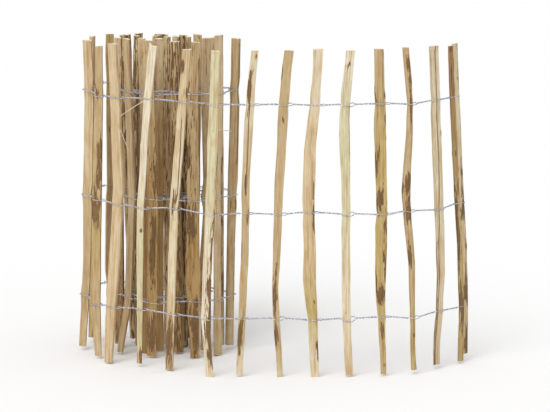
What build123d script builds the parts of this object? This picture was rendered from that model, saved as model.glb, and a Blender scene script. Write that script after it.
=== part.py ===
from build123d import *
import math
import os

# Hazel picket fence, one end still rolled up. Split and round hazel pickets stand side by side,
# bound in three rows by pairs of galvanised wires that part round each picket and twist between them.
# The frame is in mm: X to the right along the open run, Y from its face to its back, Z up.

# Driving dimensions
PITCH = 105             # mean distance from picket to picket along the wires
HEIGHT = 1000           # length of a picket that stands from the ground to the even top line
BOTTOM_ROW = 180        # heights of the three wire rows
MIDDLE_ROW = 504
TOP_ROW = 834
WIRE = 1.9              # thickness of one strand
FIT = 0.3               # clearance between a strand and whatever it touches
PARTING = 9             # distance from a picket's edge to where its two strands part
TAIL = 14               # length of a strand's bent end behind the last picket
CORNER = 0.65           # how far a strand runs on past a flat, as a share of its clearance there
NEARLY_FLAT = 0.2       # share of a picket's depth within which a strand lies along its face
PAIR_GAP = 0.5          # gap between the two pickets that are bound together at each end
SHORT_FOOT = 20         # how far the foot of the outer one of such a pair stands off the ground
TALL_TOP = 5            # how much higher its top is than the other's
THICKNESS = 0.62        # depth of a split picket as a share of its width
ROUND_SIDES = 8         # flats round a picket that was left round
HALF_SIDES = 5          # flats round the back of a picket split in half
PLAIN_WIDTH = 31        # width of a picket that the outer turn hides
TAPER = 2.5             # how much narrower such a picket is at its top

# Outline of a picket split off as a wedge, in shares of its width and of its depth
WEDGE = [(-0.5, -0.5), (0.5, -0.5), (0.45, -0.05), (0.125, 0.5), (-0.175, 0.42), (-0.46, 0)]

# The line of the fence on the ground, from the free end to the middle of the roll. Each bay from one
# station to the next is a stretch of the mean pitch and a direction in degrees from the X axis.
OPEN_BAYS = [
    (1.10, 231), (1.15, 216), (0.77, 194), (1.06, 185), (1.03, 180), (0.91, 180), (0.94, 180),
    (0.97, 180),
]
OUTER_TURN = [
    (1.33, 145), (1.09, 154), (0.86, 146), (0.90, 133), (1.27, 110), (1.02, 93), (0.99, 64),
    (0.96, 5), (1.01, 347), (1.00, 337), (1.03, 326), (0.89, 289), (0.93, 236),
]
SECOND_TURN = [
    (0.92, 201), (0.94, 176), (0.95, 151), (0.93, 114), (0.92, 66), (0.86, 10), (0.92, 341),
    (0.93, 321),
]
INNER_TURN = [
    (0.76, 255), (0.84, 195), (0.82, 170), (0.83, 121), (0.72, 39), (0.82, 341), (0.66, 300),
    (0.78, 182),
]
BAYS = OPEN_BAYS + OUTER_TURN + SECOND_TURN + INNER_TURN

# The pickets in front, from the free end. Each has its section, how far its split face is turned
# from the front in degrees, the heights of its foot and of its top against the even line, the slant
# of its top cut in degrees, and its sideways lean and width at the foot, the three rows and the top.
SHOWN = [
    ("half", 0, 7, -6, 4, (8, 9, 0, -10, -14), (21, 19, 20, 18, 21)),
    ("half", 0, 15, 2, -3, (-2, 3, 0, -14, -19), (25, 25, 28, 30, 29)),
    ("round", 0, 15, 4, 0, (23, 18, 0, 5, -10), (20, 21, 26, 19, 21)),
    ("half", 0, 5, 2, 2, (8, 1, 0, -6, -10), (19, 25, 31, 32, 28)),
    ("half", 0, 4, -2, 0, (15, 5, 0, 0, 17), (23, 26, 26, 25, 26)),
    ("half", 0, 0, 3, -2, (18, 12, 0, 18, 28), (25, 29, 33, 28, 30)),
    ("wedge", 0, 0, -1, 3, (7, -4, 0, 16, 32), (19, 21, 25, 29, 26)),
    ("wedge", 0, 5, -2, 0, (-18, -10, 0, 18, 34), (21, 21, 22, 26, 21)),
    ("half", 0, 0, -3, 3, (-4, -18, 0, 13, 18), (27, 27, 29, 30, 30)),
    ("half", 0, 3, -6, -4, (-16, -8, 0, 28, 44), (26, 27, 28, 29, 29)),
    ("wedge", 0, 12, -1, 6, (-8, -6, 0, 24, 44), (18, 21, 25, 27, 28)),
    ("half", 0, 3, 0, 2, (-30, -20, 0, -3, -13), (28, 35, 37, 36, 29)),
    ("half", 30, 9, -14, -3, (-3, -9, 2, 8, 10), (24, 36, 32, 32, 25)),
    ("half", 50, 12, -8, 4, (-15, -6, 3, 10, 4), (27, 30, 30, 30, 29)),
    ("half", 180, 18, -6, 3, (5, 8, 11, 17, 20), (27, 29, 30, 29, 27)),
]

# Pickets of the roll that show between those in front, by station
SHOWN_BETWEEN = {
    15: ("half", 180, 8, 3, 3, (20, 21, 22, 23, 24), (30, 31, 31, 30, 27)),
    19: ("half", 180, 0, 0, -2, (-8, -7, -6, -7, -8), (30, 31, 32, 31, 29)),
    21: ("half", 0, 3, 14, 0, (4, 2, 2, 10, 10), (29, 30, 31, 30, 28)),
    22: ("half", 0, 2, -2, 4, (26, 28, 27, 24, 34), (30, 33, 34, 33, 29)),
    24: ("half", 0, 6, 2, 3, (-22, 6, 21, 10, 7), (24, 29, 30, 28, 27)),
    25: ("half", 50, 14, -4, 0, (8, 15, 18, 18, 16), (28, 31, 32, 31, 28)),
    36: ("half", 0, 6, 4, 3, (4, 2, 0, -2, -4), (24, 26, 27, 26, 24)),
    37: ("half", 0, 3, -2, 2, (-3, -1, 0, 1, 3), (22, 24, 25, 24, 22)),
}

# Habits that the other pickets repeat in turn: section, turn of the split face, and lean of foot
# and top
HABITS = [
    ("half", 180, -6, 12), ("half", 0, 9, -8), ("round", 180, -12, 6), ("wedge", 0, 4, 14),
    ("half", 180, 10, 2), ("half", 0, -8, -12), ("wedge", 180, 7, 9), ("half", 0, -3, 16),
    ("round", 0, 12, -5),
]
FEET = (0, 8, 14, 3, 18, 0, 10, 6)
TOPS = (0, -4, 3, -6, 2, 4, -2)
SLANTS = (3, -5, 0, 6, -2)
ROW_WAVER = (0, 3, -2, 4, 1, -3, 2)


def hidden(number):
    """A picket deep in the roll: its habit, foot, top and slant come round in turn."""
    cut, turn, foot_lean, top_lean = HABITS[number % len(HABITS)]
    foot = FEET[number % len(FEET)]
    top = TOPS[number % len(TOPS)]
    slant = SLANTS[number % len(SLANTS)]
    leans = (foot_lean, foot_lean / 2, 0, top_lean / 2, top_lean)
    width = PLAIN_WIDTH + number % 4
    return cut, turn, foot, top, slant, leans, (width - 1, width, width, width - 1, width - TAPER)


def stations():
    """Plan position and direction of the fence's line at each picket, from the free end inwards."""
    x, y = 0.0, 0.0
    places = [(x, y)]
    for stretch, heading in BAYS:
        x += PITCH * stretch * math.cos(math.radians(heading))
        y += PITCH * stretch * math.sin(math.radians(heading))
        places.append((x, y))
    found = []
    for i, (x, y) in enumerate(places):
        before = Vector(*places[i]) - Vector(*places[max(i - 1, 0)])
        after = Vector(*places[min(i + 1, len(places) - 1)]) - Vector(*places[i])
        along = (before.normalized() if i else Vector(0, 0, 0)) + (
            after.normalized() if i + 1 < len(places) else Vector(0, 0, 0))
        found.append((x, y, along.normalized()))
    return found


def section(cut, turn, width):
    """Outline of a picket across its length: sideways first, then from its face to its back."""
    depth = width * THICKNESS
    if cut == "round":
        angles = [math.tau * (i + 0.5) / ROUND_SIDES for i in range(ROUND_SIDES)]
        points = [(width / 2 * math.cos(a), width / 2 * math.sin(a)) for a in angles]
    elif cut == "half":
        angles = [math.pi * i / HALF_SIDES for i in range(HALF_SIDES + 1)]
        points = [(width / 2 * math.cos(a), depth * (math.sin(a) - 0.5)) for a in angles]
    else:
        points = [(width * u, depth * v) for u, v in WEDGE]
    across, back = math.cos(math.radians(turn)), math.sin(math.radians(turn))
    return [(u * across - v * back, u * back + v * across) for u, v in points]


class Picket:
    """One picket: where it stands, its outline and how it leans at its five levels."""

    def __init__(self, place, spec, waver, beside=0.0):
        self.x, self.y, self.along = place
        self.cut, self.turn, foot, top, self.slant, self.leans, self.widths = spec
        self.beside = beside
        rows = (BOTTOM_ROW + waver, MIDDLE_ROW - waver, TOP_ROW + waver / 2)
        self.levels = (foot, *rows, HEIGHT + top)

    def frame(self, level):
        """Plane at a level, its X axis along the fence and its Y axis from the face to the back."""
        sideways = self.along * -self.beside
        origin = (self.x + self.leans[level] + sideways.X, self.y + sideways.Y, self.levels[level])
        return Plane(origin=origin, x_dir=self.along * -1, z_dir=(0, 0, 1))

    def outline(self, level):
        return section(self.cut, self.turn, self.widths[level])

    def edges(self, level):
        """How far the outline reaches to the left and to the right at a level."""
        sideways = [u for u, v in self.outline(level)]
        return min(sideways), max(sideways)

    def solid(self):
        """Straight lengths between the levels, as a split rod bends, with a slanted top cut."""
        top = len(self.levels) - 1
        rings = [self.frame(i) * Polygon(*self.outline(i), align=None) for i in range(top + 1)]
        rod = loft(rings, ruled=True)
        if not self.slant:
            return rod
        tip = self.frame(top)
        drop = self.widths[top] / 2 * math.tan(math.radians(abs(self.slant)))
        cut = Plane(origin=tip.origin - tip.z_dir * drop, x_dir=tip.x_dir, z_dir=tip.z_dir)
        return split(rod, bisect_by=cut.rotated((0, self.slant, 0)), keep=Keep.BOTTOM)


def pair_of_pickets(place, spec, waver):
    """Two pickets bound side by side under the ends of the wires."""
    apart = (max(spec[6]) + PAIR_GAP) / 2
    cut, turn, foot, top, slant, leans, widths = spec
    outer = (cut, turn, foot + SHORT_FOOT, top + TALL_TOP, -slant, leans, widths)
    return [Picket(place, outer, waver, apart), Picket(place, spec, waver, -apart)]


def all_stations():
    """The pickets at each station: two at both ends of the fence, and one at all the others."""
    places = stations()
    groups = []
    for i, place in enumerate(places):
        spec = SHOWN[i] if i < len(SHOWN) else SHOWN_BETWEEN.get(i) or hidden(i)
        waver = ROW_WAVER[i % len(ROW_WAVER)]
        if i in (0, len(places) - 1):
            groups.append(pair_of_pickets(place, spec, waver))
        else:
            groups.append([Picket(place, spec, waver)])
    return groups


def bearing(picket, level, side):
    """Where a strand bears on a picket: the depth it passes at, and the ends of the flat it crosses."""
    points = picket.outline(level)
    depths = [side * v for u, v in points]
    deepest = max(depths)
    nearly = deepest - (deepest - min(depths)) * NEARLY_FLAT
    flat = [u for u, v in points if side * v >= nearly]
    return side * (deepest + FIT + WIRE / 2), min(flat), max(flat)


def crossing(group, row, side):
    """Corners of one strand round one station, from right to left as seen from the face.

    side is -1 for the strand that crosses the faces and 1 for the one that crosses the backs. The
    corners stand past the flat by just enough to keep the clearance where the strand turns away.
    """
    level = row + 1
    lift = -side * (WIRE + FIT) / 2
    past = (WIRE / 2 + FIT) * CORNER
    right, left = group[0], group[-1]
    deep_right, _, u_right = bearing(right, level, side)
    deep_left, u_left, _ = bearing(left, level, side)
    deep = side * max(side * deep_right, side * deep_left)
    corners = [
        (right, right.edges(level)[1] + PARTING, 0),
        (right, u_right + past, deep),
        (left, u_left - past, deep),
        (left, left.edges(level)[0] - PARTING, 0),
    ]
    return [picket.frame(level).from_local_coords((u, v, lift)) for picket, u, v in corners]


def wrapped_end(group, row, side, outward):
    """The bent end of a strand past the last picket: outward is 1 at the right end, -1 at the left."""
    level = row + 1
    picket = group[0] if outward > 0 else group[-1]
    lift = -side * (WIRE + FIT) / 2
    deep, _, _ = bearing(picket, level, side)
    left, right = picket.edges(level)
    u = right + FIT + WIRE / 2 if outward > 0 else left - FIT - WIRE / 2
    plane = picket.frame(level)
    tail = deep - side * TAIL
    return [plane.from_local_coords((u, v, lift)) for v in (tail, deep)]


def strand(groups, row, side):
    """One wire strand of a row, a square rod mitred at each bend, from the free end inwards."""
    path = wrapped_end(groups[0], row, side, 1)
    path += crossing(groups[0], row, side)[2:]
    for group in groups[1:-1]:
        path += crossing(group, row, side)
    path += crossing(groups[-1], row, side)[:2]
    path += reversed(wrapped_end(groups[-1], row, side, -1))
    line = Polyline(*path)
    start = Plane(origin=line @ 0, x_dir=(0, 0, 1), z_dir=line % 0)
    return sweep(start * Rectangle(WIRE, WIRE), path=line, transition=Transition.RIGHT)


def build():
    """Every piece by its name, with the origin on the ground under the middle of the fence's box."""
    groups = all_stations()
    pieces = {}
    for number, picket in enumerate(p for group in groups for p in group):
        pieces[f"picket_{number + 1:02d}"] = picket.solid()
    for row, name in enumerate(("bottom", "middle", "top")):
        pieces[f"{name}_wire_front_strand"] = strand(groups, row, -1)
        pieces[f"{name}_wire_back_strand"] = strand(groups, row, 1)
    box = Compound(children=[Compound(p.wrapped) for p in pieces.values()]).bounding_box()
    middle = Location((-box.center().X, -box.center().Y, -box.min.Z))
    return {name: piece.moved(middle) for name, piece in pieces.items()}


os.makedirs("parts", exist_ok=True)
for name, piece in build().items():
    export_step(piece, f"parts/{name}.step")
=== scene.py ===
import math
import bpy
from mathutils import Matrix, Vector, noise


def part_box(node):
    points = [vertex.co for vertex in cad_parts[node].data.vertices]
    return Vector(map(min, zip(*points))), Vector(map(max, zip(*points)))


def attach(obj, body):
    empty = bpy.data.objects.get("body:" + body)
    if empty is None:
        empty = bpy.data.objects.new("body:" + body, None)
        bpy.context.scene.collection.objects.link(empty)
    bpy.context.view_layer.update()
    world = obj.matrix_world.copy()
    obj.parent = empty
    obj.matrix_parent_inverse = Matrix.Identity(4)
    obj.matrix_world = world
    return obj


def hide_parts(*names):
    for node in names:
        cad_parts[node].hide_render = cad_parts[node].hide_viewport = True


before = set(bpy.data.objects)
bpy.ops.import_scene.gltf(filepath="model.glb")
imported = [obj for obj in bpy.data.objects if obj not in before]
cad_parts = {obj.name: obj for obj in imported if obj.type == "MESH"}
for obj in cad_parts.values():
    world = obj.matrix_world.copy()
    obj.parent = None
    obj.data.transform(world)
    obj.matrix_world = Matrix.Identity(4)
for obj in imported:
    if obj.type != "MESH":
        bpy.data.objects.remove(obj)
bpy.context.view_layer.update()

mm = 0.001

# Pickets: hazel rods split lengthwise with a froe, or left round when thin. Raw wood, pale and
# fibrous on the split face, with brown bark on the round side and in torn patches on the edges.
# They hang in the wires by friction alone.
PICKETS = sorted(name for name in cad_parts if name.startswith("picket"))
SAME_POINT = 0.05 * mm      # corners of a solid's triangles that are closer than this are one
NEARLY_FLAT = math.radians(1.5)     # facets that turn less than this are one face
CUT_EVERY = 26 * mm         # spacing of the rings that let a picket bend and taper smoothly
SPLIT_EDGE = math.radians(50)       # edges sharper than this were made by the froe
EDGE_CREASE = 0.7           # how sharp the split edges stay when the rest is rounded
CUT_END = 0.7               # a face that looks up or down by more than this is a cut end
ROUNDINGS = 2               # times the mesh is refined, which rounds its bends
MIDDLE_EVERY = 20 * mm      # spacing of the heights at which a picket's middle is measured
SMOOTH_BELOW = math.radians(40)


def only(piece):
    """Leaves one object selected and active."""
    bpy.ops.object.select_all(action="DESELECT")
    piece.select_set(True)
    bpy.context.view_layer.objects.active = piece


def fine_picket(name):
    """A copy of a picket's solid with more rings and rounded bends, and its split face's normal."""
    piece = bpy.data.objects.new("hazel_" + name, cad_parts[name].data.copy())
    bpy.context.scene.collection.objects.link(piece)
    only(piece)
    low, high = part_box(name)
    bpy.ops.object.mode_set(mode="EDIT")
    bpy.ops.mesh.select_all(action="SELECT")
    bpy.ops.mesh.remove_doubles(threshold=SAME_POINT)
    bpy.ops.mesh.dissolve_limited(angle_limit=NEARLY_FLAT)
    bpy.ops.object.mode_set(mode="OBJECT")
    split_face = max(piece.data.polygons, key=lambda face: face.area).normal.copy()
    bpy.ops.object.mode_set(mode="EDIT")
    for ring in range(1, int((high[2] - low[2]) / CUT_EVERY) + 1):
        bpy.ops.mesh.select_all(action="SELECT")
        bpy.ops.mesh.bisect(plane_co=(0, 0, low[2] + ring * CUT_EVERY), plane_no=(0, 0, 1))
    bpy.ops.mesh.select_all(action="DESELECT")
    bpy.ops.mesh.edges_select_sharp(sharpness=SPLIT_EDGE)
    bpy.ops.transform.edge_crease(value=EDGE_CREASE)
    bpy.ops.object.mode_set(mode="OBJECT")
    ends = [face for face in piece.data.polygons if abs(face.normal.z) > CUT_END]
    crisp = {key for face in ends for key in face.edge_keys}
    creases = piece.data.attributes["crease_edge"].data
    for edge in piece.data.edges:
        if edge.key in crisp:
            creases[edge.index].value = 1.0
    rounding = piece.modifiers.new("rounding", "SUBSURF")
    rounding.levels = rounding.render_levels = ROUNDINGS
    bpy.ops.object.modifier_apply(modifier=rounding.name)
    return piece, split_face


def between(stops, height):
    """Value at one height, mixed from the stops below and above it."""
    if height <= stops[0][0]:
        return stops[0][1]
    for (low, lower), (high, upper) in zip(stops, stops[1:]):
        if height <= high:
            return lower.lerp(upper, (height - low) / (high - low))
    return stops[-1][1]


def middle_line(mesh):
    """Middle of a picket's section at even heights, as (height, middle) pairs."""
    levels = {}
    for vertex in mesh.vertices:
        levels.setdefault(round(vertex.co.z / MIDDLE_EVERY), []).append(vertex.co)
    return [(level * MIDDLE_EVERY, sum((point for point in points), Vector()) / len(points))
            for level, points in sorted(levels.items())]


def fence_direction(number):
    """Unit vector along the fence at a picket, to the right as seen from its face."""
    neighbours = (max(number - 1, 0), min(number + 1, len(PICKETS) - 1))
    spots = [sum((Vector(corner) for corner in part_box(PICKETS[neighbour])), Vector()) / 2
             for neighbour in neighbours]
    direction = spots[0] - spots[1]
    return Vector((direction.x, direction.y, 0)).normalized()


def places_on(mesh, across, split_face):
    """Where each point lies on its picket, measured from the picket's middle.

    A place says how far the point is to the right, to the back and up, how deep it lies behind the
    split face, and how far to the right it lies as seen from the front of the whole fence.
    """
    back = Vector((-across.y, across.x, 0))
    line = middle_line(mesh)
    places = []
    for vertex in mesh.vertices:
        off = vertex.co - between(line, vertex.co.z)
        places.append((off.dot(across), off.dot(back), vertex.co.z, -off.dot(split_face), off.x))
    grain = mesh.attributes.new("grain", "FLOAT_VECTOR", "POINT")
    grain.data.foreach_set("vector", [value for place in places for value in place[:3]])
    return places


# Clean wood, as it looks between its darker streaks.
WOODS = {
    "pale": "EAE4D4", "greenish": "DAD6B9", "cream": "E2D9C1", "pinkish": "D9C7A8", "tan": "C9B592",
    "golden": "C5B380", "ochre": "BC9F70", "brown": "AB8D65",
}
# What shows on each picket from the free end: its wood from foot to top as (height, wood), how much
# bark covers it all over, its bark patches as (middle height, half height, side from -1 left to 1
# right, half width), and its cracks, drawn as dark lines of painted shade, as lists of (height, side).
# Heights are in metres.
LOOKS = {
    1: ([(0, "tan"), (0.3, "pinkish"), (0.6, "cream")], 0.14,
        [(0.93, 0.06, 0.7, 0.3), (0.61, 0.03, 0.5, 0.4), (0.50, 0.09, 0.7, 0.7),
         (0.47, 0.02, 0.0, 0.8), (0.367, 0.012, 0.5, 0.4), (0.28, 0.05, 0.2, 0.3),
         (0.22, 0.03, 0.3, 1.2), (0.075, 0.05, 0.5, 1.2)],
        [[(0.80, 0.9), (0.70, 0.9)]]),
    2: ([(0.5, "golden"), (0.8, "brown")], 0.24,
        [(0.985, 0.02, -0.4, 0.6), (0.92, 0.07, -0.3, 0.4), (0.66, 0.01, 0.0, 0.3),
         (0.55, 0.03, 0.3, 0.3), (0.42, 0.12, -0.8, 0.8), (0.175, 0.075, 0.0, 1.3)], []),
    3: ([(0, "pinkish"), (0.5, "cream")], 0.0, [(0.735, 0.012, 0.9, 0.2)],
        [[(1.0, 0.0), (0.6, 0.0), (0.5, -0.3), (0.40, -0.5), (0.15, -0.5), (0.0, -0.6)]]),
    4: ([(0, "golden"), (0.3, "tan")], 0.12,
        [(0.955, 0.022, 0.0, 0.5), (0.905, 0.014, 0.1, 0.4), (0.82, 0.06, -0.1, 0.35),
         (0.59, 0.03, 0.0, 0.9), (0.54, 0.03, 0.3, 0.3), (0.50, 0.03, 0.0, 0.9),
         (0.365, 0.04, -0.6, 0.35), (0.125, 0.007, 0.0, 0.3), (0.012, 0.01, 0.5, 0.4)], []),
    5: ([(0, "tan"), (0.2, "golden"), (0.7, "golden"), (1, "tan")], 0.14,
        [(0.865, 0.035, -0.9, 0.25), (0.86, 0.01, 0.9, 0.2), (0.79, 0.02, 0.9, 0.2),
         (0.733, 0.006, 0.8, 0.2), (0.65, 0.04, -0.8, 0.4), (0.54, 0.035, -0.4, 0.7),
         (0.45, 0.035, 0.8, 0.25), (0.37, 0.06, 0.8, 0.35), (0.29, 0.045, -0.9, 0.35),
         (0.255, 0.025, 0.0, 1.0), (0.14, 0.03, 0.1, 0.35), (0.035, 0.006, 0.2, 0.3)],
        [[(0.71, -0.1), (0.67, -0.35)]]),
    6: ([(0, "pinkish"), (0.2, "cream"), (0.6, "greenish"), (0.85, "greenish"), (0.95, "pale")], 0.0,
        [(0.956, 0.008, 0.0, 0.3), (0.20, 0.006, -0.3, 0.25)],
        [[(0.96, 0.2), (0.945, -0.3)], [(0.83, 0.85), (0.70, 0.9), (0.62, 0.95)]]),
    7: ([(0.05, "cream"), (0.2, "golden"), (0.45, "pinkish"), (0.75, "pinkish"), (1, "pale")], 0.0,
        [(0.50, 0.05, 0.85, 0.25), (0.235, 0.009, 0.3, 0.15), (0.09, 0.035, 0.8, 0.4)],
        [[(0.60, 0.7), (0.46, 0.75)], [(0.32, 0.95), (0.27, 0.95)]]),
    8: ([(0, "greenish"), (0.06, "tan")], 0.04,
        [(0.93, 0.03, -1.0, 0.2), (0.795, 0.012, 0.1, 0.2), (0.31, 0.04, -0.2, 0.25),
         (0.235, 0.055, -0.3, 0.6), (0.13, 0.05, -0.2, 0.35)], []),
    9: ([(0, "cream"), (0.12, "tan"), (0.5, "tan"), (1, "cream")], 0.04,
        [(0.98, 0.012, 0.3, 0.2), (0.885, 0.055, -0.4, 0.4), (0.82, 0.03, -0.2, 0.2),
         (0.60, 0.03, 0.1, 0.25), (0.49, 0.025, 0.7, 0.3), (0.39, 0.03, -0.9, 0.2),
         (0.12, 0.06, -0.3, 0.5)],
        [[(0.84, -0.1), (0.70, 0.1), (0.57, 0.1)], [(0.18, 0.3), (0.10, -0.2)]]),
    10: ([(0, "cream"), (0.2, "pale"), (0.4, "pale"), (0.5, "greenish")], 0.0,
         [(0.41, 0.10, 1.0, 0.6), (0.26, 0.10, 1.0, 0.8), (0.13, 0.08, 0.8, 0.9),
          (0.07, 0.03, 0.4, 0.5)], []),
    11: ([(0, "tan"), (0.3, "cream"), (0.6, "cream"), (0.9, "pinkish")], 0.04,
         [(0.94, 0.02, -0.5, 0.4), (0.86, 0.02, 0.8, 0.3), (0.53, 0.04, 0.0, 0.4),
          (0.09, 0.07, 0.0, 0.8)],
         [[(0.78, 0.2), (0.66, 0.5), (0.55, 0.6)], [(0.50, -0.8), (0.38, -0.8)]]),
    12: ([(0, "tan"), (0.08, "greenish"), (0.45, "greenish"), (0.6, "pale")], 0.0,
         [(0.03, 0.03, 0.5, 0.6), (0.43, 0.007, 0.2, 0.3)], []),
    13: ([(0, "pinkish")], 0.0, [(0.07, 0.05, -1.0, 0.15)], []),
    14: ([(0, "pinkish"), (0.2, "tan"), (0.4, "golden"), (0.8, "tan")], 0.03,
         [(0.84, 0.012, -0.1, 0.25), (0.61, 0.09, 0.6, 0.5), (0.48, 0.05, 0.2, 0.8),
          (0.235, 0.012, -0.7, 0.3)],
         [[(0.87, -0.3), (0.82, 0.1)]]),
    15: ([(0.4, "tan"), (0.6, "pinkish")], 0.0, [], []),
    16: ([(0, "tan"), (1, "pinkish")], 0.05, [], [[(0.9, 0.0), (0.3, 0.2)]]),
    17: ([(0, "tan"), (0.3, "pinkish"), (1, "golden")], 0.06, [], [[(0.7, 0.3), (0.2, 0.2)]]),
    22: ([(0, "tan")], 0.02, [(0.47, 0.025, 0.0, 0.8), (0.25, 0.08, 0.2, 0.7)],
         [[(0.98, -0.6), (0.60, -0.6)]]),
    23: ([(0, "tan"), (0.5, "pinkish")], 0.05, [(0.60, 0.07, -0.5, 0.25)], []),
    24: ([(0.4, "ochre"), (0.6, "tan")], 0.32,
         [(0.86, 0.03, -0.9, 0.4), (0.64, 0.04, -0.8, 0.5), (0.43, 0.06, -0.2, 0.8),
          (0.10, 0.08, 0.1, 0.7)], []),
    25: ([(0.5, "ochre"), (0.8, "tan")], 0.30,
         [(0.60, 0.08, 0.7, 0.5), (0.35, 0.12, 0.2, 0.7), (0.08, 0.06, 0.0, 0.9)], []),
    26: ([(0.35, "tan"), (0.55, "pinkish"), (1, "tan")], 0.0, [], []),
}
HIDDEN_WOODS = ("brown", "pinkish", "brown", "tan", "ochre", "brown", "tan")
HIDDEN_BARK = (0.32, 0.28, 0.42, 0.20, 0.36, 0.30)


def look_of(number):
    """What shows on a picket, or for a hidden one a look that follows from its number and has painted
    light at its top.
    """
    wood = HIDDEN_WOODS[number % len(HIDDEN_WOODS)]
    bark = HIDDEN_BARK[number % len(HIDDEN_BARK)]
    # Painted light: a hidden picket's wood turns pinkish towards its top. It is lighter where more
    # light falls and darker lower down in the roll.
    return LOOKS.get(number + 1, ([(0.6, wood), (0.9, "pinkish")], bark, [], []))


# How the seen pickets differ from their solids. The lists go by a picket's number from the free end.
ROW_HEIGHTS = (0.180, 0.504, 0.834)     # where the three rows of wire cross the pickets
HELD = 40 * mm              # length near a wire row over which a picket keeps its solid's form
FOOT_LOOSE = 0.25           # how much of the unevenness is left at the very foot
APART = 7.3                 # step through the noise from one picket to the next
SWELL_SPOT = Vector((3, 5, 0))      # where in the noise swelling is read, away from swaying
WANDER = 110 * mm           # length over which a picket sways and swells
SWAY = 2.2 * mm             # how far it sways to the side
SWELL = 0.12                # how much wider or narrower it gets, as a share
GROOVE = 0.9 * mm           # how far grooves and ridges lie in and out along the fibres
GROOVE_WIDTH = 6 * mm
GROOVE_LENGTH = 90 * mm
CHIP_WIDTH = 9 * mm
CHIP_LENGTH = 22 * mm
CHIP = 0.5                  # depth of chips, as a share of that of grooves
SUNK = 0.2                  # how far in the whole surface lies, as a share of a groove's depth
JAG = 2.5 * mm              # how uneven the axe left a picket's ends
JAG_WIDTH = 8 * mm
KNOT = 0.016                # bark patches no taller than this are knots, which stand out a little
KNOT_SPREAD = 1.6           # how much wider and taller a knot's bulge is than its bark
BULGE = 1.4 * mm            # how far a knot stands out
SPREAD = {1: 1.2, 2: 1.2, 26: 1.08, 27: 1.2, 28: 1.1, 29: 1.25, 40: 1.25}   # wider all along
TRIMMED = {17: 11 * mm, 18: 10 * mm, 19: 4 * mm, 20: 6 * mm, 28: 5 * mm}    # tops cut lower
SLIVER = {12: (-0.45, 7 * mm)}      # a split-off corner left standing: its side and its height
NO_SLIVER = (-2, 0)
# Where a picket bows or swells more than its solid: (height in m, left edge and right edge in mm).
BOWED = {
    3: [(0.1, -5, -4), (0.3, 3, 5), (0.6, -2, 0), (0.8, -8, -2)],
    4: [(0.1, 0, -3), (0.35, 5, 5), (0.57, -10, -5), (0.75, -2, 0)],
    5: [(0.15, -2, -4), (0.33, -12, -1), (0.55, -3, 0), (0.75, -11, 0), (0.95, -6, -3)],
    6: [(0.2, -2, 0), (0.6, -5, 0), (0.75, -12, -1), (0.95, -5, -1)],
    7: [(0.13, -3, 0), (0.3, -14, 0), (0.45, -6, 0), (0.7, -13, -6), (0.9, -3, -3)],
    8: [(0.15, 0, 0), (0.28, -4, -6), (0.4, -2, 0), (0.85, 0, 3)],
    9: [(0.15, 0, 0), (0.35, 0, 2), (0.62, -7, -6), (0.8, -3, -3)],
    11: [(0.2, 0, 2), (0.6, 0, 5), (0.9, 0, 2)],
    13: [(0.05, -4, 4), (0.3, 0, 7), (0.55, 5, 11), (0.75, 3, 6)],
    15: [(0.0, 0, -3), (0.3, 9, 4), (0.5, 4, 9)],
    17: [(0.05, 0, 0), (0.2, -11, 0), (0.35, -10, 0), (0.55, -3, 0)],
    22: [(0.35, 0, 0), (0.55, 0, 6), (0.85, 4, 8)],
    24: [(0.05, 0, 0), (0.2, -15, 0), (0.55, -8, 0), (0.9, 0, 0)],
    28: [(0.3, 0, 0), (0.5, -6, 0), (0.95, -9, 0)],
    32: [(0.3, 0, 0), (0.45, 16, 0), (0.55, 16, 0), (0.8, 0, 0), (0.88, -6, 0)],
}
STRAIGHT = [(0, 0, 0)]
FREE_END = (0.52, 0.56)     # how far along the free end begins, and where its lean is full
LEAN = [(0.2, 1.4), (0.37, 0), (0.53, -7), (0.7, -11), (0.95, -19)]     # height in m, shift in mm


def lean(point):
    """How far along the fence a point moves because the free end leans more than its solids."""
    start, full = FREE_END
    share = min(max((point.x - start) / (full - start), 0), 1)
    return share * between([(height, Vector((shift, 0))) for height, shift in LEAN], point.z).x * mm


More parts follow.
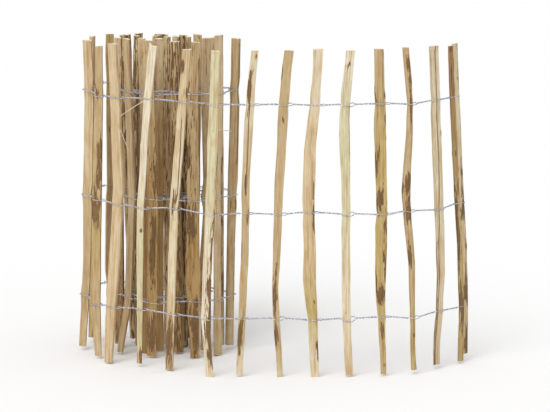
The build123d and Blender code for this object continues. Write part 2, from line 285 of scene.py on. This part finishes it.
def roughen(mesh, places, half, across, number):
    """Moves a picket's points to give it the bends, grooves, knots and ragged ends of split wood."""
    low, high = [corner[2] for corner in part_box(PICKETS[number])]
    half_seen = max(abs(place[4]) for place in places)
    bows = [(height, Vector((left, right)) * mm)
            for height, left, right in BOWED.get(number + 1, STRAIGHT)]
    wider = SPREAD.get(number + 1, 1) - 1
    trim = TRIMMED.get(number + 1, 0) / (high - ROW_HEIGHTS[-1])
    sliver_side, sliver = SLIVER.get(number + 1, NO_SLIVER)
    knots = [patch for patch in look_of(number)[2] if patch[1] <= KNOT]
    normals = [Vector(vertex.normal) for vertex in mesh.vertices]
    moved = []
    for vertex, normal, (right, back, height, _, seen) in zip(mesh.vertices, normals, places):
        loose = min(min(abs(height - row) for row in ROW_HEIGHTS) / HELD, 1)
        loose *= min(max((height - low) / HELD, FOOT_LOOSE), 1)
        spot = Vector((number * APART, 0, height / WANDER))
        sway = noise.noise(spot) * SWAY * loose
        swell = noise.noise(spot + SWELL_SPOT) * SWELL * loose
        groove = noise.noise(Vector((right / GROOVE_WIDTH, back / GROOVE_WIDTH + number,
                                     height / GROOVE_LENGTH)))
        chip = noise.noise(Vector((right / CHIP_WIDTH, back / CHIP_WIDTH - number,
                                   height / CHIP_LENGTH))) * loose
        inset = (SUNK + (groove + CHIP * chip) / 2) * GROOVE
        for middle, reach, side, width in knots:
            far = math.hypot((height - middle) / (reach * KNOT_SPREAD),
                             (right / half - side) / (width * KNOT_SPREAD))
            inset -= BULGE * math.exp(-far * far)
        left_bow, right_bow = between(bows, height)
        bow = left_bow + (right_bow - left_bow) * (seen / half_seen + 1) / 2
        aside = Vector((bow * (1 + loose) / 2 + lean(vertex.co), 0, 0))
        rise = -max(height - ROW_HEIGHTS[-1], 0) * trim
        uneven = (0.5 + noise.noise(Vector((right / JAG_WIDTH, back / JAG_WIDTH, number)))) * JAG
        if height > high - 2 * JAG:
            rise += sliver if right < sliver_side * half else -uneven
        elif height < low + 2 * JAG:
            rise += uneven * min(height / JAG, 1)       # a foot on the floor stays on it
        moved.extend(vertex.co + across * (sway + right * (swell + wider))
                     - Vector((normal.x, normal.y, 0)) * inset + aside + Vector((0, 0, rise)))
    mesh.vertices.foreach_set("co", moved)
    mesh.update()


def linear(code):
    """sRGB hex to linear RGBA."""
    parts = [int(code[i:i + 2], 16) / 255 for i in (0, 2, 4)]
    return (*(c / 12.92 if c <= 0.04045 else ((c + 0.055) / 1.055) ** 2.4 for c in parts), 1)


BACK_BARK = 0.56            # how much bark the round side of a split picket keeps at least
WRAP = 2.2                  # how fast bark closes up from the split face to the back
PEELED = (22, 26)           # round pickets that have lost the bark in front
PATCH_REACH = 0.3           # how far back patches reach, as a share of half the width
PATCH_FADE = 0.5            # how much less bark there is at a patch's rim than at its middle
CRACK_TAPER = 3 * mm        # length beyond its end in which a crack gets twice as thin
CRACK_BEHIND = 8            # points at the back count as this much further from a crack
NO_CRACK = 10               # distance from a crack where there is none, in half widths


def paint(mesh, places, half, number):
    """Stores each point's bark, wood colour and distance from a crack, for the material to read."""
    woods, cover, patches, cracks = look_of(number)
    colours = [(height, Vector(linear(WOODS[wood]))) for height, wood in woods]
    lines = [sorted((height, Vector((side, 0))) for height, side in crack) for crack in cracks]
    barks = []
    tints = []
    rifts = []
    for right, back, height, depth, _ in places:
        bark = cover
        if depth > 0 and (back > 0 or number + 1 not in PEELED):
            bark = max(bark, min(BACK_BARK, cover + WRAP * BACK_BARK * depth / half))
        for middle, reach, side, width in patches:
            if back < PATCH_REACH * half:
                far = math.hypot((height - middle) / reach, (right / half - side) / width)
                bark = max(bark, 1 - PATCH_FADE * far)
        barks.append(bark)
        tints.extend(between(colours, height))
        rift = NO_CRACK * half
        for line in lines:
            beyond = max(line[0][0] - height, height - line[-1][0], 0)
            away = (right - between(line, height).x * half) * (1 + beyond / CRACK_TAPER)
            away *= 1 if back < 0 else CRACK_BEHIND
            rift = away if abs(away) < abs(rift) else rift
        rifts.append(rift)
    mesh.attributes.new("bark", "FLOAT", "POINT").data.foreach_set("value", barks)
    mesh.attributes.new("wood", "FLOAT_COLOR", "POINT").data.foreach_set("color", tints)
    mesh.attributes.new("crack", "FLOAT", "POINT").data.foreach_set("value", rifts)


def add_node(tree, kind, settings=None, inputs=None):
    """A shader node with its settings, and its inputs set to a value or linked from a socket."""
    node = tree.nodes.new(kind)
    for key, value in (settings or {}).items():
        setattr(node, key, value)
    for key, value in (inputs or {}).items():
        if isinstance(value, bpy.types.NodeSocket):
            tree.links.new(value, node.inputs[key])
        else:
            node.inputs[key].default_value = value
    return node


# Patterns of split hazel: how wide and how long each mark is in mm, its detail and its distortion.
# Real fibres are 0.3 mm wide, too fine to show, so they are drawn five times as wide. Hairs are
# fibres that stand out darker. Bark tears in tongues, and is left standing in islands.
PATTERNS = {
    "fibres": (1.6, 130, 3, 0), "bands": (7, 260, 2, 0), "clouds": (16, 70, 2, 0),
    "tongues": (4.5, 42, 3, 0.3), "islands": (11, 90, 2, 0), "flecks": (1.6, 7, 2, 0),
    "hairs": (1.3, 200, 1, 0),
}
# What each tone follows, and its colours from the pattern's low values to its high ones.
TONES = {
    "fibre tone": ("fibres", [(0.32, "E3D9CA"), (0.5, "FFFFFF"), (0.7, "F0E8DB")]),
    "band tone": ("bands", [(0.35, "DCCBB0"), (0.5, "FFFFFF"), (0.66, "E6DCC4")]),
    "cloud tone": ("clouds", [(0.35, "E4CFAF"), (0.55, "FFFFFF"), (0.7, "EDE9D2")]),
    "plain bark": ("fibres", [(0.3, "583F26"), (0.5, "7A5D3B"), (0.68, "947650")]),
    "bark flecks": ("flecks", [(0.35, "B9A68F"), (0.5, "FFFFFF")]),
    "end flecks": ("flecks", [(0.35, "E4D6BA"), (0.55, "FFFFFF")]),
}
# Where each layer lies, one sum after another. RISE goes from 0 to 1 between two values. Torn is
# high inside a bark patch and falls unevenly towards its rim. A crack wavers with the tongues.
SUMS = (
    ("spread", "MULTIPLY_ADD", "islands", 0.9, "bark"),
    ("ragged", "MULTIPLY_ADD", "tongues", 1.7, "spread"),
    ("torn", "SUBTRACT", "ragged", 1.3),
    ("inner bark", "RISE", "torn", 0.44, 0.51),
    ("inner bark shown", "MULTIPLY", "inner bark", 0.75),
    ("outer bark", "RISE", "torn", 0.51, 0.56),
    # rim and bark edge shade: a thin dark line just inside the torn edge of the bark, which is painted
    # shade
    ("rim", "RISE", "torn", 0.66, 0.57),
    ("bark edge shade", "MULTIPLY", "outer bark", "rim"),
    ("bark edge shade shown", "MULTIPLY", "bark edge shade", 0.55),
    ("hair", "RISE", "hairs", 0.66, 0.72),
    ("hair shown", "MULTIPLY", "hair", 0.35),
    ("crack middle", "SUBTRACT", "crack", 1.5 * mm),
    ("crack line", "MULTIPLY_ADD", "tongues", 3 * mm, "crack middle"),
    ("from crack", "ABSOLUTE", "crack line"),
    # The crack's line: its dark colour is painted shade in the split, and it is also sunk as a groove
    # in the relief.
    ("rift", "RISE", "from crack", 2.2 * mm, 1.4 * mm),
    ("crack shade and groove", "MULTIPLY", "rift", 0.85),
    ("cut end", "RISE", "upward", 0.6, 0.8),
    ("hollow", "SUBTRACT", "fibres", "crack shade and groove"),
    ("relief", "MULTIPLY_ADD", "outer bark", 0.8, "hollow"),
)
# Blends over the wood's own colour, in this order: the kind, how much, and what is laid on.
LAYERS = (
    ("MULTIPLY", 1.0, "fibre tone"), ("MULTIPLY", 0.8, "band tone"),
    ("MULTIPLY", 0.6, "cloud tone"), ("MIX", "hair shown", "9A7F56"),
    ("MIX", "inner bark shown", "A98B5C"), ("MIX", "outer bark", "flecked bark"),
    # The dark line laid on along each crack is painted shade in the split.
    # The dark line laid on just inside the bark's torn edge is painted shade.
    ("MIX", "bark edge shade shown", "543A20"), ("MIX", "crack shade and groove", "6E5232"), ("MIX", "cut end", "cut wood"),
)
CUT_WOOD = "F8F1E0"
FLECKED = 0.7               # how much the flecks show on bark and on cut ends
OWN_GRAIN = (0.35, 0.35, 0)     # share of its place in the fence that gives a picket its own grain
BARE_ROUGHNESS = 0.8
BARK_ROUGHNESS = 0.62
FIBRE_RELIEF = 0.8 * mm      # how deep the grain looks under the light


def split_hazel():
    """Raw split hazel under torn bark: matt and streaked along the rod, with a faint gloss on bark."""
    material = bpy.data.materials.new("split hazel with bark")
    material.use_nodes = True
    tree = material.node_tree
    shader = tree.nodes["Principled BSDF"]
    found = {}
    for name, socket in (("grain", "Vector"), ("bark", "Fac"), ("wood", "Color"), ("crack", "Fac")):
        found[name] = add_node(tree, "ShaderNodeAttribute", {"attribute_name": name}).outputs[socket]
    facing = add_node(tree, "ShaderNodeNewGeometry").outputs["Normal"]
    found["upward"] = add_node(tree, "ShaderNodeSeparateXYZ", None, {0: facing}).outputs["Z"]
    place = add_node(tree, "ShaderNodeTexCoord").outputs["Object"]
    local = add_node(tree, "ShaderNodeVectorMath", {"operation": "MULTIPLY_ADD"},
                     {0: place, 1: OWN_GRAIN, 2: found["grain"]}).outputs[0]
    for name, (across, along, detail, distortion) in PATTERNS.items():
        mapped = add_node(tree, "ShaderNodeMapping", None, {
            "Vector": local,
            "Scale": (1 / (across * mm), 1 / (across * mm), 1 / (along * mm))}).outputs[0]
        found[name] = add_node(tree, "ShaderNodeTexNoise", None, {
            "Vector": mapped, "Scale": 1.0, "Detail": detail, "Roughness": 0.55,
            "Distortion": distortion}).outputs["Fac"]
    for name, (pattern, stops) in TONES.items():
        tone = add_node(tree, "ShaderNodeValToRGB", None, {"Fac": found[pattern]})
        elements = tone.color_ramp.elements
        while len(elements) < len(stops):
            elements.new(0.5)
        for element, (position, code) in zip(elements, stops):
            element.position = position
            element.color = linear(code)
        found[name] = tone.outputs["Color"]
    for name, operation, *terms in SUMS:
        terms = [found.get(term, term) for term in terms]
        if operation == "RISE":
            step = add_node(tree, "ShaderNodeMapRange", None,
                            dict(zip(("Value", "From Min", "From Max"), terms)))
        else:
            step = add_node(tree, "ShaderNodeMath", {"operation": operation}, dict(enumerate(terms)))
        found[name] = step.outputs[0]
    for name, base, flecks in (("flecked bark", found["plain bark"], "bark flecks"),
                               ("cut wood", linear(CUT_WOOD), "end flecks")):
        found[name] = add_node(tree, "ShaderNodeMix", {"data_type": "RGBA", "blend_type": "MULTIPLY"},
                               {0: FLECKED, 6: base, 7: found[flecks]}).outputs[2]
    colour = found["wood"]
    for kind, share, layer in LAYERS:
        laid_on = found[layer] if layer in found else linear(layer)
        colour = add_node(tree, "ShaderNodeMix", {"data_type": "RGBA", "blend_type": kind},
                          {0: found.get(share, share), 6: colour, 7: laid_on}).outputs[2]
    tree.links.new(colour, shader.inputs["Base Color"])
    rough = add_node(tree, "ShaderNodeMapRange", None, {
        "Value": found["outer bark"], "To Min": BARE_ROUGHNESS, "To Max": BARK_ROUGHNESS})
    tree.links.new(rough.outputs[0], shader.inputs["Roughness"])
    shader.inputs["Specular IOR Level"].default_value = 0.25
    bump = add_node(tree, "ShaderNodeBump", None, {
        "Height": found["relief"], "Strength": 0.45, "Distance": FIBRE_RELIEF})
    tree.links.new(bump.outputs[0], shader.inputs["Normal"])
    return material


hazel = split_hazel()
for number, name in enumerate(PICKETS):
    piece, split_face = fine_picket(name)
    across = fence_direction(number)
    places = places_on(piece.data, across, split_face)
    half = max(abs(place[0]) for place in places)
    roughen(piece.data, places, half, across, number)
    paint(piece.data, places, half, number)
    piece.data.materials.clear()
    piece.data.materials.append(hazel)
    only(piece)
    bpy.ops.object.shade_smooth_by_angle(angle=SMOOTH_BELOW)
    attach(piece, "root")
    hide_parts(name)

# Binding wires: two strands of soft galvanised steel wire in each row. One crosses the pickets'
# faces and the other their backs, and they are twisted about each other between the pickets. The
# strand in front sags as it crosses, which leaves an eye at the right of the picket.
WIRE_SEEN = 2.6 * mm        # thickness with its zinc coat
LAY = 21 * mm               # length of one full turn of the twist
POINTS_PER_TURN = 12
STAND_OFF = 0.4 * mm        # how far outside its solid a strand lies where it turns a picket
EYE_LENGTH = 7 * mm         # length over which the strands open before a picket
LEFT_EYE = 0.5              # how much wider than in the twist they stand there, left of a picket
RIGHT_EYE = 0.7             # the same at its right, to which the sag adds
SAG_OPENS = 4 * mm          # a sag this deep opens the eye by as much as the twist is wide
SAGS = {                    # how far each picket's strand sags in mm, repeated along the row
    "bottom": (2, 5, 1, 12, 1, 8, 1, 7, 3, 4, 2, 3, 2),
    "middle": (2, 3, 2, 9, 1, 4, 2, 6, 2, 3, 1, 3, 2),
    "top": (1, 5, 2, 8, 2, 5, 2, 8, 2, 2, 1, 4, 2),
}
SAG_LEFT = 0.35             # share of the sag that is left where the strand turns off the picket
BACK_LIFT = 0.2             # how far the strand behind is lifted, as a share of the sag in front
CORNERS = 4                 # corners of a solid strand at each picket
END_CORNERS = 3             # its corners at the first picket and at the last one
CORNER_TURN = math.radians(0.2)     # facets of a solid strand that turn less are one face
TIP = 3 * mm                # how far a wire's free end is bent up
END_CLEAR = 0.8 * mm        # how far the free ends stay inside their solids
BENDS_CUT = 3               # times the corners of a strand's line are cut to round them
BEND_CUT = 0.25             # share of a side that a cut takes off at each of its ends


def strand_path(name):
    """Middles of a strand's corners in order, walked from its free end to the middle of the roll."""
    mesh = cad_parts[name].data.copy()
    probe = bpy.data.objects.new("probe", mesh)
    bpy.context.scene.collection.objects.link(probe)
    only(probe)
    bpy.ops.object.mode_set(mode="EDIT")
    bpy.ops.mesh.select_all(action="SELECT")
    bpy.ops.mesh.remove_doubles(threshold=SAME_POINT)
    bpy.ops.mesh.dissolve_limited(angle_limit=CORNER_TURN)
    bpy.ops.object.mode_set(mode="OBJECT")
    links = {}
    for edge in mesh.edges:
        one, other = edge.vertices
        links.setdefault(one, set()).add(other)
        links.setdefault(other, set()).add(one)
    courses = []
    for face in mesh.polygons:
        corners = [mesh.vertices[i].co for i in face.vertices]
        sides = [(start - end).length for start, end in zip(corners, corners[1:])]
        if len(corners) == 4 and all(side < WIRE_SEEN for side in sides):
            ring = set(face.vertices)
            seen = set(ring)
            path = []
            while ring:
                path.append(sum((mesh.vertices[i].co for i in ring), Vector()) / len(ring))
                ring = {other for i in ring for other in links[i]} - seen
                seen |= ring
            courses.append(path)
    bpy.data.objects.remove(probe)
    path = max(courses, key=len)
    return path if path[0].x > path[-1].x else path[::-1]


def rounded(points):
    """A line through points with its corners cut, keeping both ends."""
    for _ in range(BENDS_CUT):
        cut = [points[0]]
        for start, end in zip(points, points[1:]):
            cut += [start.lerp(end, BEND_CUT), start.lerp(end, 1 - BEND_CUT)]
        points = cut + [points[-1]]
    return points


def twisted(start, end, in_front, right_eye):
    """One strand's turns about the line from one picket to the next, opening into eyes at its ends."""
    length = (end - start).length
    turns = max(round(length / LAY), 1) + 0.5       # the half turn ends it where the other began
    steps = round(turns * POINTS_PER_TURN)
    along = (end - start).normalized()
    side = along.cross(Vector((0, 0, 1))).normalized()
    up = side.cross(along)
    first_angle = math.pi / 2 if in_front else -math.pi / 2
    points = []
    for i in range(steps + 1):
        gone = i / steps * length
        angle = math.tau * turns * i / steps + first_angle
        opening = (LEFT_EYE * math.exp(-((gone / EYE_LENGTH) ** 2))
                   + right_eye * math.exp(-(((length - gone) / EYE_LENGTH) ** 2)))
        radius = WIRE_SEEN / 2 * (1 + opening)
        points.append(start + along * gone + (up * math.sin(angle) + side * math.cos(angle)) * radius)
    return points


def crossing(own, other, corner, sag):
    """Points where a strand turns on to a picket and off it, the first one sagging most."""
    points = []
    for i, share in ((corner, 1), (corner + 1, SAG_LEFT)):
        clear = (own[i] - other[i]).normalized() * STAND_OFF
        points.append(own[i] + clear - Vector((0, 0, sag * share)))
    return points


def seen_strand(own, other, in_front, row_sags):
    """The course of one round strand, from the corners of both strands' solids in its row."""
    line = [own[0] + Vector((0, 0, TIP)), *own[:END_CORNERS]]
    whole = []
    for bay, first in enumerate(range(END_CORNERS, len(own) - 1, CORNERS)):
        sag = row_sags[bay % len(row_sags)] * mm
        start, end = [(own[i] + other[i]) / 2 for i in (first, first + 1)]
        coil = twisted(start, end, in_front, RIGHT_EYE + sag / SAG_OPENS)
        whole += rounded(line + coil[:1])[:-1] + coil[:-1]
        line = [coil[-1], *crossing(own, other, first + 2, sag if in_front else -sag * BACK_LIFT)]
    whole += rounded([line[0], *own[-END_CORNERS:]])
    shifts = [min(lean(point), -END_CLEAR if point.x > FREE_END[1] else 0) for point in whole]
    return [point + Vector((shift, 0, 0)) for point, shift in zip(whole, shifts)]


SHADE_AND_GLINT_PATCH = 3 * mm         # width of the patches of painted glint and painted shade along the wire
# the painted shade and the painted glint of the twisted strands
WIRE_SHADE_AND_GLINT_TONES = ("7A7884", "E2E1E8")
ZINC_ROUGHNESS = (0.5, 0.32)


def zinc():
    """Hot-dipped galvanised wire: zinc with painted glints and painted shade in random patches a few
    mm wide, the glinting ones smoother.
    """
    material = bpy.data.materials.new("galvanised steel wire")
    material.use_nodes = True
    tree = material.node_tree
    shader = tree.nodes["Principled BSDF"]
    place = add_node(tree, "ShaderNodeTexCoord").outputs["Object"]
    uneven = add_node(tree, "ShaderNodeTexNoise", None, {
        "Vector": place, "Scale": 1 / SHADE_AND_GLINT_PATCH, "Detail": 2.0}).outputs["Fac"]
    # Painted light: random brighter and darker patches stand in for the glints and the shade of the
    # twisted strands.
    patches = add_node(tree, "ShaderNodeMapRange", None, {
        "Value": uneven, "From Min": 0.36, "From Max": 0.62}).outputs[0]
    painted_shade_tone, painted_glint_tone = [linear(tone) for tone in WIRE_SHADE_AND_GLINT_TONES]
    tone = add_node(tree, "ShaderNodeMix", {"data_type": "RGBA"}, {0: patches, 6: painted_shade_tone, 7: painted_glint_tone})
    tree.links.new(tone.outputs[2], shader.inputs["Base Color"])
    shader.inputs["Metallic"].default_value = 0.6
    rough = add_node(tree, "ShaderNodeMapRange", None, {
        "Value": patches, "To Min": ZINC_ROUGHNESS[0], "To Max": ZINC_ROUGHNESS[1]})
    tree.links.new(rough.outputs[0], shader.inputs["Roughness"])
    return material


def rod(name, points, thickness, material):
    """A round closed mesh along a line of points."""
    curve = bpy.data.curves.new(name, "CURVE")
    curve.dimensions = "3D"
    curve.bevel_depth = thickness / 2
    curve.bevel_resolution = 2
    curve.use_fill_caps = True
    spline = curve.splines.new("POLY")
    spline.points.add(len(points) - 1)
    spline.points.foreach_set("co", [value for point in points for value in (*point, 1)])
    piece = bpy.data.objects.new(name, curve)
    bpy.context.scene.collection.objects.link(piece)
    only(piece)
    bpy.ops.object.convert(target="MESH")
    piece = bpy.context.object
    piece.data.materials.append(material)
    bpy.ops.object.shade_smooth()
    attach(piece, "root")
    return piece


galvanised = zinc()
for row, row_sags in SAGS.items():
    front, back = [strand_path(f"{row}_wire_{side}_strand") for side in ("front", "back")]
    for side, own, other in (("front", front, back), ("back", back, front)):
        name = f"{row}_wire_{side}_strand"
        course = seen_strand(own, other, side == "front", row_sags)
        wire = rod("galvanised_" + name, course, WIRE_SEEN, galvanised)
        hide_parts(name)

# Splinters: three long thin fibres of plain wood. They peeled off while the rods were split, and
# still hang from them by one end.
SPLINTER = 2.2 * mm
SPLINTERS = (
    [(-0.3876, -0.1721, 0.8301), (-0.4233, -0.1621, 0.8074), (-0.4603, -0.1321, 0.779)],
    [(-0.4744, -0.1333, 0.7672), (-0.4564, -0.1304, 0.7232), (-0.4354, -0.1265, 0.6671)],
    [(-0.1766, -0.3045, 0.761), (-0.1473, -0.2821, 0.7561), (-0.1206, -0.2621, 0.7504)],
)
for number, points in enumerate(SPLINTERS, 1):
    course = rounded([Vector(point) for point in points])
    splinter = rod(f"hazel_splinter_{number}", course, SPLINTER, hazel)
    count = len(splinter.data.vertices)
    tint = splinter.data.attributes.new("wood", "FLOAT_COLOR", "POINT")
    tint.data.foreach_set("color", linear(WOODS["cream"]) * count)
    crack = splinter.data.attributes.new("crack", "FLOAT", "POINT")
    crack.data.foreach_set("value", [1.0] * count)      # a metre away, so none shows

# Studio: a white paper floor that keeps a faint shadow, soft light from all round and from the
# upper left in front, and the camera at the photograph's viewing angle.
CAMERA_HEIGHT = 1.7994
CAMERA_BACK = 7.7
PITCH_DOWN = math.radians(9.385)
FOCAL_PIXELS = 2592.8
PICTURE_WIDTH = 550
SENSOR = 36
FACE_LINE = -0.2921         # depth of the open run's pickets in the frame
ORIGIN_SIDEWAYS = 0.0117    # where the photograph's middle falls along the fence
SIGHT = 100                 # how far the camera sees
FLOOR_SIZE = 60
SKY = 0.7                   # strength of the light from all round
SUN = 1.6                   # strength of the light from the upper left
SUN_SPREAD = math.radians(40)
SUN_TURN = (math.radians(42), 0, math.radians(-25))

bpy.ops.mesh.primitive_plane_add(size=FLOOR_SIZE, location=(0, 0, 0))
floor = bpy.context.object
floor.name = "floor"
paper = bpy.data.materials.new("white paper floor")
paper.use_nodes = True
paper_shader = paper.node_tree.nodes["Principled BSDF"]
paper_shader.inputs["Base Color"].default_value = linear("F8F8F8")
paper_shader.inputs["Roughness"].default_value = 0.9
floor.data.materials.append(paper)

camera_data = bpy.data.cameras.new("camera")
camera_data.sensor_width = SENSOR
camera_data.lens = SENSOR * FOCAL_PIXELS / PICTURE_WIDTH
camera_data.clip_end = SIGHT
camera = bpy.data.objects.new("camera", camera_data)
bpy.context.scene.collection.objects.link(camera)
camera.location = (ORIGIN_SIDEWAYS, FACE_LINE - CAMERA_BACK, CAMERA_HEIGHT)
camera.rotation_euler = (math.pi / 2 - PITCH_DOWN, 0, 0)
bpy.context.scene.camera = camera

world = bpy.data.worlds.new("studio")
bpy.context.scene.world = world
world.use_nodes = True
tree = world.node_tree
seen = add_node(tree, "ShaderNodeLightPath").outputs["Is Camera Ray"]
strength = add_node(tree, "ShaderNodeMapRange", None, {"Value": seen, "To Min": SKY, "To Max": 1.0})
tree.nodes["Background"].inputs["Color"].default_value = (1, 1, 1, 1)
tree.links.new(strength.outputs[0], tree.nodes["Background"].inputs["Strength"])
sun_data = bpy.data.lights.new("sun", "SUN")
sun_data.energy = SUN
sun_data.angle = SUN_SPREAD
sun = bpy.data.objects.new("sun", sun_data)
bpy.context.scene.collection.objects.link(sun)
sun.rotation_euler = SUN_TURN

bpy.context.scene.view_settings.view_transform = "Standard"
